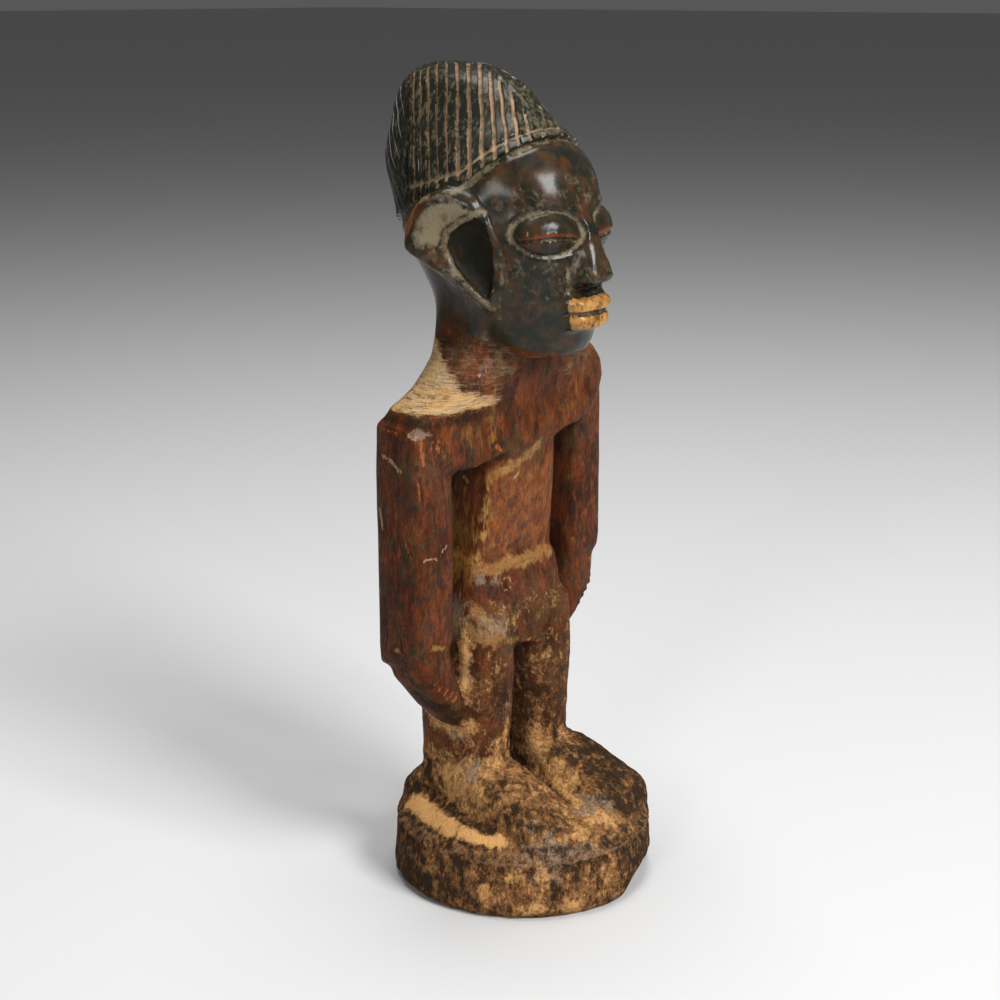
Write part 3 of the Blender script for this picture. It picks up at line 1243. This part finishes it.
def make_fibre_group():
    """Noise drawn out along the block's upright grain, evened to run from 0 to 1."""
    group = bpy.data.node_groups.new("fibre", "ShaderNodeTree")
    input_socket(group, "Across", 1)
    input_socket(group, "Along", 1)
    input_socket(group, "Seed", 0)
    group.interface.new_socket("Value", in_out="OUTPUT", socket_type="NodeSocketFloat")
    nodes = group.nodes
    links = group.links
    start = nodes.new("NodeGroupInput")
    end = nodes.new("NodeGroupOutput")
    place = nodes.new("ShaderNodeTexCoord")
    scale = nodes.new("ShaderNodeCombineXYZ")
    for socket, name in (("X", "Across"), ("Y", "Across"), ("Z", "Along")):
        share = nodes.new("ShaderNodeMath")
        share.operation = "DIVIDE"
        share.inputs[0].default_value = 1 / MM
        links.new(start.outputs[name], share.inputs[1])
        links.new(share.outputs[0], scale.inputs[socket])
    scaled = nodes.new("ShaderNodeVectorMath")
    scaled.operation = "MULTIPLY"
    links.new(place.outputs["Object"], scaled.inputs[0])
    links.new(scale.outputs[0], scaled.inputs[1])
    moved = nodes.new("ShaderNodeVectorMath")
    moved.operation = "ADD"
    links.new(scaled.outputs[0], moved.inputs[0])
    links.new(start.outputs["Seed"], moved.inputs[1])
    pattern = nodes.new("ShaderNodeTexNoise")
    pattern.inputs["Scale"].default_value = 1
    pattern.inputs["Detail"].default_value = PATTERN_DETAIL
    pattern.inputs["Roughness"].default_value = PATTERN_ROUGHNESS
    pattern.inputs["Distortion"].default_value = PATTERN_DISTORTION
    links.new(moved.outputs[0], pattern.inputs["Vector"])
    evened = nodes.new("ShaderNodeMapRange")
    evened.inputs["From Min"].default_value = PATTERN_RANGE[0]
    evened.inputs["From Max"].default_value = PATTERN_RANGE[1]
    links.new(pattern.outputs["Fac"], evened.inputs["Value"])
    links.new(evened.outputs["Result"], end.inputs["Value"])
    return group


def make_patch_group():
    """A layer's edge: a soft mask broken up by a pattern."""
    group = bpy.data.node_groups.new("broken_patch", "ShaderNodeTree")
    input_socket(group, "Mask", 0)
    input_socket(group, "Pattern", 0.5)
    input_socket(group, "Spread", 1)
    input_socket(group, "Softness", 0.3)
    group.interface.new_socket("Share", in_out="OUTPUT", socket_type="NodeSocketFloat")
    nodes = group.nodes
    links = group.links
    start = nodes.new("NodeGroupInput")
    end = nodes.new("NodeGroupOutput")

    def step(operation, first, second):
        node = nodes.new("ShaderNodeMath")
        node.operation = operation
        for socket, source in zip(node.inputs, (first, second)):
            if isinstance(source, (int, float)):
                socket.default_value = source
            else:
                links.new(source, socket)
        return node.outputs[0]

    swing = step("MULTIPLY", step("SUBTRACT", start.outputs["Pattern"], 0.5), start.outputs["Spread"])
    height = step("ADD", start.outputs["Mask"], swing)
    edge = nodes.new("ShaderNodeMapRange")
    edge.interpolation_type = "SMOOTHSTEP"
    links.new(height, edge.inputs["Value"])
    links.new(step("SUBTRACT", 0.5, start.outputs["Softness"]), edge.inputs["From Min"])
    links.new(step("ADD", 0.5, start.outputs["Softness"]), edge.inputs["From Max"])
    gate = nodes.new("ShaderNodeMapRange")
    gate.inputs["From Max"].default_value = EMPTY_MASK
    links.new(start.outputs["Mask"], gate.inputs["Value"])
    links.new(step("MULTIPLY", edge.outputs["Result"], gate.outputs["Result"]), end.inputs["Share"])
    return group


class Surface:
    """Builds one material from layers of colour, gloss and relief.

    A value may be a number, a colour, a socket or the name of a mask.
    """

    def __init__(self, name):
        self.material = bpy.data.materials.new(name)
        self.material.use_nodes = True
        self.tree = self.material.node_tree
        self.shader = self.tree.nodes["Principled BSDF"]
        self.fibre_group = make_fibre_group()
        self.patch_group = make_patch_group()
        self.made = {}

    def mask(self, name):
        if name not in self.made:
            node = self.tree.nodes.new("ShaderNodeAttribute")
            node.attribute_name = name
            self.made[name] = node.outputs["Fac"]
        return self.made[name]

    def put(self, value, socket):
        if isinstance(value, str):
            value = self.mask(value)
        if isinstance(value, (int, float, tuple)):
            socket.default_value = value
        else:
            self.tree.links.new(value, socket)

    def pattern(self, name):
        key = ("pattern", name)
        if key not in self.made:
            node = self.tree.nodes.new("ShaderNodeGroup")
            node.node_tree = self.fibre_group
            for socket, value in zip(("Across", "Along", "Seed"), PATTERNS[name]):
                node.inputs[socket].default_value = value
            self.made[key] = node.outputs["Value"]
        return self.made[key]

    def math(self, operation, *values):
        node = self.tree.nodes.new("ShaderNodeMath")
        node.operation = operation
        for value, socket in zip(values, node.inputs):
            self.put(value, socket)
        return node.outputs[0]

    def times(self, first, second):
        return self.math("MULTIPLY", first, second)

    def rest(self, value):
        return self.math("SUBTRACT", 1, value)

    def highest(self, *values):
        top = values[0]
        for value in values[1:]:
            top = self.math("MAXIMUM", top, value)
        return top

    def mix(self, share, under, over):
        node = self.tree.nodes.new("ShaderNodeMix")
        node.data_type = "RGBA"
        self.put(share, node.inputs[0])
        self.put(under, node.inputs[6])
        self.put(over, node.inputs[7])
        return node.outputs[2]

    def blend(self, share, under, over):
        node = self.tree.nodes.new("ShaderNodeMix")
        node.data_type = "FLOAT"
        self.put(share, node.inputs[0])
        self.put(under, node.inputs[2])
        self.put(over, node.inputs[3])
        return node.outputs[0]

    def patch(self, share, pattern, softness=0.3, spread=1):
        """Where a layer lies: its share or mask, broken up by a pattern."""
        node = self.tree.nodes.new("ShaderNodeGroup")
        node.node_tree = self.patch_group
        self.put(share, node.inputs["Mask"])
        self.put(self.pattern(pattern) if isinstance(pattern, str) else pattern, node.inputs["Pattern"])
        self.put(spread, node.inputs["Spread"])
        self.put(softness, node.inputs["Softness"])
        return node.outputs["Share"]

    def cover(self, under, over, where, strength=1):
        """Lays one colour over another, at most to that strength."""
        return self.mix(where if strength == 1 else self.times(where, strength), under, over)

    def layer(self, under, over, pattern, share, softness=0.3, strength=1, spread=1):
        """Lays one colour over another in patches."""
        return self.cover(under, over, self.patch(share, pattern, softness, spread), strength)


def body_colour(wood):
    """Red-brown wood, streaked dark along the grain and worn orange in places."""
    grit = wood.pattern("grit")
    clump = wood.pattern("clump")
    on_arms = lambda body, arms: wood.blend("arms", body, arms)
    colour = wood.layer(DEEP_RED, RED_BROWN, "tone", share=0.5)
    colour = wood.layer(colour, OLIVE_BROWN, "olive", share=0.32, softness=0.25, strength=0.7)
    worn = wood.layer(BELLY_ORANGE, BELLY_PINK, "belly_tone", share=0.5, softness=0.35)
    worn = wood.layer(worn, GOLD_BROWN, "gold", share=0.34, softness=0.25, strength=0.6)
    worn = wood.layer(worn, BLACK_BROWN, "dots", share=0.26, softness=0.14, strength=0.5)
    wear = wood.blend(0.5, wood.pattern("wear"), wood.pattern("wide_wear"))
    colour = wood.layer(colour, worn, wear, share="orange", strength=0.85)
    colour = wood.layer(
        colour, PINK_RED, "pink_strokes", share=on_arms(0.18, 0.3), softness=0.12, strength=0.6)
    colour = wood.layer(
        colour, GREEN_BLACK, "streaks", share=on_arms(0.24, 0.37), softness=0.18, strength=0.72)
    blots = wood.patch(on_arms(0.2, 0.3), "blots", softness=0.14)
    drawn_blots = wood.patch(wood.times("blots", 0.75), grit, spread=0.6)
    colour = wood.cover(colour, BLACK_BLUE, wood.highest(blots, drawn_blots), 0.62)
    colour = wood.layer(colour, PURPLE_GREY, "purple", share="purple", softness=0.25, strength=0.4)
    colour = wood.layer(colour, BLACK_BROWN, "marks", share=0.22, softness=0.14, strength=0.6)
    colour = wood.layer(colour, DEEP_RED, "shade", share=0.34, strength=0.4)
    ochre_tone = wood.mix(wood.blend(0.5, wood.pattern("fine"), grit), DARK_OCHRE, OCHRE)
    ochre_tone = wood.cover(ochre_tone, EDGE_OCHRE, "belly_edge", 0.7)
    colour = wood.layer(colour, ochre_tone, "ochre", share="ochre", softness=0.25)
    hidden = wood.highest("dark", wood.times("sunk", 0.6))
    colour = wood.layer(colour, BLACK_BROWN, wood.blend(0.5, grit, clump), share=hidden, strength=0.8)
    strokes = wood.blend(0.6, clump, wood.pattern("neck_strokes"))
    colour = wood.layer(colour, TAN, strokes, share="strokes", strength=0.5)
    dabs = wood.blend(0.4, wood.pattern("dabs"), clump)
    film = wood.layer(CRUST_ORANGE, EDGE_OCHRE, "film_tone", share=0.6, softness=0.5)
    colour = wood.layer(colour, film, dabs, share=wood.times("film", 0.9), strength=0.57)
    colour = wood.layer(
        colour, FILM_GREY, dabs, share=wood.times("grey_film", 0.8), spread=1.2, strength=0.6)
    return wood.cover(colour, BLACK_BROWN, wood.pattern("speck"), 0.4)


def head_colour(wood):
    """Black-green to brown polished skin, with dust in its low places."""
    grit = wood.pattern("grit")
    clump = wood.pattern("clump")
    colour = wood.layer(BLACK_GREEN, HEAD_BROWN, "head_tone", share=0.34, softness=0.4)
    colour = wood.layer(colour, HEAD_RED, "head_red", share=0.28)
    carved = wood.highest("lines", wood.times("ridge", 0.8))
    low = wood.highest(
        wood.times(carved, 0.62), wood.times("sunk", 0.5),
        wood.times("dust", 0.52), wood.times("dish", 0.78))
    dust = wood.patch(low, wood.blend(0.6, grit, clump), softness=0.35, spread=1.2)
    colour = wood.cover(colour, GREY_DUST, dust, 0.75)
    colour = wood.layer(colour, GREY_DUST, clump, share=wood.times("lobe", 0.52), strength=0.4)
    colour = wood.layer(
        colour, ORANGE_BROWN, clump, share="worn", softness=0.2, spread=0.7, strength=0.5)
    colour = wood.layer(
        colour, RED_BROWN, clump, share=wood.times("lids", 0.75), softness=0.25, spread=0.9, strength=0.7)
    ochre = wood.mix(clump, OCHRE, EDGE_OCHRE)
    colour = wood.layer(
        colour, ochre, wood.blend(0.4, grit, clump),
        share=wood.times("lips", 0.66), softness=0.25, strength=0.85)
    hollow = wood.layer(BLACK_GREEN, BLACK_BROWN, "hollow", share=0.4)
    return wood.cover(colour, hollow, "hollow", 0.9), dust


def hair_colour(wood):
    """Black-green locks, dusty towards the front, with tan dust in the grooves."""
    locks = wood.layer(BLACK_GREEN, BLACK_BROWN, "speck", share=0.35, softness=0.2)
    locks = wood.layer(
        locks, OLIVE_DUST, "hair_dust", share=wood.blend("dusty_hair", 0.3, 0.5),
        softness=0.2, strength=0.8)
    tan = wood.mix(wood.pattern("groove_tone"), TAN, PINK_TAN)
    tan = wood.layer(tan, OLIVE_DUST, "groove_dust", share=0.4)
    groove = wood.patch("groove", "grit", softness=0.16, spread=0.55)
    return wood.cover(locks, tan, groove, 0.92), groove


def crust_colour(wood):
    """Ochre earth crust: brown to orange, with paler heaps, darker hollows and fine cracks."""
    grain = wood.pattern("crust_grain")
    mottle = wood.blend(0.5, wood.pattern("crust_mottle"), wood.pattern("clump"))
    broken = wood.blend(0.6, wood.pattern("grit"), wood.pattern("crust_patches"))
    high = wood.math("MULTIPLY_ADD", "light", 0.5, wood.math("ADD", mottle, -0.1))
    height = wood.math("MULTIPLY_ADD", "dark", -0.42, high)
    tone = wood.mix(wood.blend(0.4, mottle, grain), CRUST_BROWN, CRUST_ORANGE)
    tone = wood.layer(
        tone, CRUST_PALE, broken, share=wood.math("ADD", height, -0.12), softness=0.36, strength=0.8)
    tone = wood.layer(
        tone, CRUST_GREY, "crust_grey", share=wood.times("grey", 0.8), softness=0.35, spread=0.8,
        strength=0.75)
    smooth_share = wood.times(wood.patch("smooth", mottle, spread=0.9), 0.88)
    tone = wood.mix(smooth_share, tone, wood.cover(SMOOTH_EARTH, CRUST_ORANGE, grain, 0.42))
    deep = wood.patch(
        wood.math("SUBTRACT", 0.7, height),
        wood.blend(0.55, wood.pattern("deep"), wood.pattern("deep_patches")), spread=1.3)
    tone = wood.cover(tone, CRUST_DARK, deep, 0.88)
    strokes = wood.times(wood.patch(0.24, "crust_strokes", softness=0.2), wood.rest(deep))
    tone = wood.cover(tone, CRUST_PALE, strokes, 0.3)
    vein = wood.math("MULTIPLY_ADD", wood.pattern("veins"), 12, -6)
    crack = wood.patch(wood.rest(wood.math("ABSOLUTE", vein)), 0.5, softness=0.35, spread=0)
    crack = wood.times(crack, wood.rest(smooth_share))
    return wood.cover(tone, CRUST_DARK, crack, 0.55), crack, height


def straw_colour(wood):
    """Dry tan film with fine dark fibres lying across its lower half."""
    tone = wood.layer(STRAW, GREY_STRAW, "straw_tone", share=0.5, softness=0.4)
    tone = wood.layer(tone, CRUST_ORANGE, "straw_warmth", share=0.4, strength=0.45)
    tone = wood.layer(tone, DARK_OCHRE, "straw_shade", share=0.36, strength=0.5)
    tone = wood.layer(tone, EDGE_OCHRE, "clump", share=wood.times("threads", 0.5), strength=0.45)
    return wood.layer(
        tone, BLACK_BROWN, "threads", share=wood.blend("threads", 0.08, 0.27), softness=0.2, strength=0.7)


def mark_colour(wood, colour):
    """Bare wood in the fingers' worn backs, nicks, scratches, split facet and the plinth's edge."""
    broken = wood.pattern("broken")
    fingers = wood.patch(wood.times("fingers", 0.75), broken, softness=0.25)
    nicks = wood.patch(wood.times("nicks", 0.62), broken, softness=0.25)
    colour = wood.cover(colour, ORANGE_RED, wood.highest(fingers, nicks), 0.85)
    colour = wood.layer(
        colour, PALE_WOOD, broken, share=wood.times("pale", 0.7), softness=0.25, strength=0.75)
    colour = wood.layer(colour, PALE_CHIP, broken, share=wood.times("chip", 0.8), spread=0.9, strength=0.6)
    return wood.layer(
        colour, CRUST_GREY, broken, share=wood.times("edge", 0.6), softness=0.25, strength=0.6)


def make_wood():
    """Red-brown wood under dark handled patina, dust and ochre crust."""
    wood = Surface("carved_wood")
    fine = wood.pattern("fine")
    speck = wood.pattern("speck")
    grit = wood.pattern("grit")
    clump = wood.pattern("clump")

    head = wood.patch("head", clump, spread=0.5)
    skin, dust = head_colour(wood)
    locks, groove = hair_colour(wood)
    crust_tone, crack, height = crust_colour(wood)
    straw_edge = wood.blend(0.6, clump, wood.pattern("straw_edge"))
    straw = wood.patch("straw", straw_edge, softness=0.34, spread=1.3)
    crust = wood.patch("crust", wood.blend(0.5, grit, clump), softness=0.22)
    colour = wood.mix(head, body_colour(wood), skin)
    colour = wood.mix("hair", colour, locks)
    colour = wood.mix(straw, colour, straw_colour(wood))
    colour = wood.mix(crust, colour, crust_tone)
    wood.put(mark_colour(wood, colour), wood.shader.inputs["Base Color"])

    gloss = wood.highest(head, "hair")
    dry = wood.highest(crust, straw)
    dusty = wood.highest(groove, dust)
    glint = wood.patch(0.17, "glint", softness=0.15)
    rough = wood.blend(glint, wood.blend(fine, *BODY_ROUGHNESS), GLINT_ROUGHNESS)
    rough = wood.blend(gloss, rough, wood.blend(clump, *HEAD_ROUGHNESS))
    rough = wood.blend("hair", rough, wood.blend(speck, *HAIR_ROUGHNESS))
    rough = wood.blend(dusty, rough, DUST_ROUGHNESS)
    rough = wood.blend(dry, rough, DRY_ROUGHNESS)
    rough = wood.blend(wood.times("hollow", 0.7), rough, DUST_ROUGHNESS)
    rough = wood.blend(wood.times("lobe", 0.6), rough, LOBE_ROUGHNESS)
    rough = wood.blend(wood.highest("chip", "edge"), rough, EDGE_ROUGHNESS)
    wood.put(rough, wood.shader.inputs["Roughness"])

    coat = wood.blend(gloss, wood.times(glint, GLINT_COAT), wood.blend("hair", HEAD_COAT, HAIR_COAT))
    coat = wood.times(coat, wood.rest(dusty))
    coat = wood.times(coat, wood.rest(wood.highest(dry, "hollow")))
    coat = wood.times(coat, wood.math("MULTIPLY_ADD", "lobe", -LOBE_DULLED, 1))
    coat = wood.highest(coat, wood.times("chip", CHIP_COAT))
    wood.put(coat, wood.shader.inputs["Coat Weight"])
    wood.put(COAT_ROUGHNESS, wood.shader.inputs["Coat Roughness"])
    wood.put(SPECULAR, wood.shader.inputs["Specular IOR Level"])

    body_relief = wood.math("ADD", wood.times(fine, GRAIN_RELIEF), wood.times(speck, SPECK_RELIEF))
    relief = wood.blend(gloss, body_relief, wood.times(clump, HEAD_RELIEF))
    relief = wood.math("ADD", relief, wood.times(wood.times(dry, grit), GRIT_RELIEF))
    relief = wood.math("ADD", relief, wood.times(wood.times(crust, height), HEAP_RELIEF))
    relief = wood.math("SUBTRACT", relief, wood.times(wood.times(crust, crack), CRACK_RELIEF))
    bump = wood.tree.nodes.new("ShaderNodeBump")
    bump.inputs["Strength"].default_value = BUMP_STRENGTH
    bump.inputs["Distance"].default_value = BUMP_HEIGHT * MM
    wood.put(relief, bump.inputs["Height"])
    wood.put(bump.outputs["Normal"], wood.shader.inputs["Normal"])
    return wood.material


def make_camera():
    turn = math.radians(CAMERA_TURN)
    tilt = math.radians(CAMERA_TILT)
    level_look = Vector((math.sin(turn), math.cos(turn), 0))
    right = Vector((math.cos(turn), -math.sin(turn), 0))
    look = level_look * math.cos(tilt) - Vector((0, 0, math.sin(tilt)))
    place = -CAMERA_DISTANCE * level_look + Vector((0, 0, CAMERA_HEIGHT))
    depth = -place.dot(look)
    place -= right * ((AXIS_PIXEL - FRAME_PIXELS / 2) * depth / FOCAL_PIXELS)
    data = bpy.data.cameras.new("camera")
    data.sensor_width = SENSOR
    data.lens = SENSOR * FOCAL_PIXELS / FRAME_PIXELS
    data.clip_start, data.clip_end = CLIP
    camera = bpy.data.objects.new("camera", data)
    camera.location = place * MM
    camera.rotation_mode = "QUATERNION"
    camera.rotation_quaternion = look.to_track_quat("-Z", "Y")
    bpy.context.scene.collection.objects.link(camera)
    bpy.context.scene.camera = camera


def make_stage():
    shape = bmesh.new()
    bmesh.ops.create_grid(shape, x_segments=1, y_segments=1, size=FLOOR_HALF)
    mesh = bpy.data.meshes.new("floor")
    shape.to_mesh(mesh)
    shape.free()
    floor = bpy.data.objects.new("floor", mesh)
    pale = bpy.data.materials.new("pale_floor")
    pale.use_nodes = True
    surface = pale.node_tree.nodes["Principled BSDF"]
    surface.inputs["Base Color"].default_value = FLOOR_COLOUR
    surface.inputs["Roughness"].default_value = FLOOR_ROUGHNESS
    mesh.materials.append(pale)
    bpy.context.scene.collection.objects.link(floor)


def light_scene():
    for name, place, target, size, power in LIGHTS:
        data = bpy.data.lights.new(name, "AREA")
        data.shape = "SQUARE"
        data.size = size
        data.energy = power
        light = bpy.data.objects.new(name, data)
        light.location = place
        light.rotation_mode = "QUATERNION"
        light.rotation_quaternion = (Vector(target) - Vector(place)).to_track_quat("-Z", "Y")
        bpy.context.scene.collection.objects.link(light)
    world = bpy.data.worlds.new("studio")
    world.use_nodes = True
    background = world.node_tree.nodes["Background"]
    background.inputs["Color"].default_value = STUDIO_COLOUR
    background.inputs["Strength"].default_value = STUDIO_STRENGTH
    bpy.context.scene.world = world


make_camera()
make_stage()
light_scene()
make_figure()
bpy.context.scene.view_settings.view_transform = "Standard"
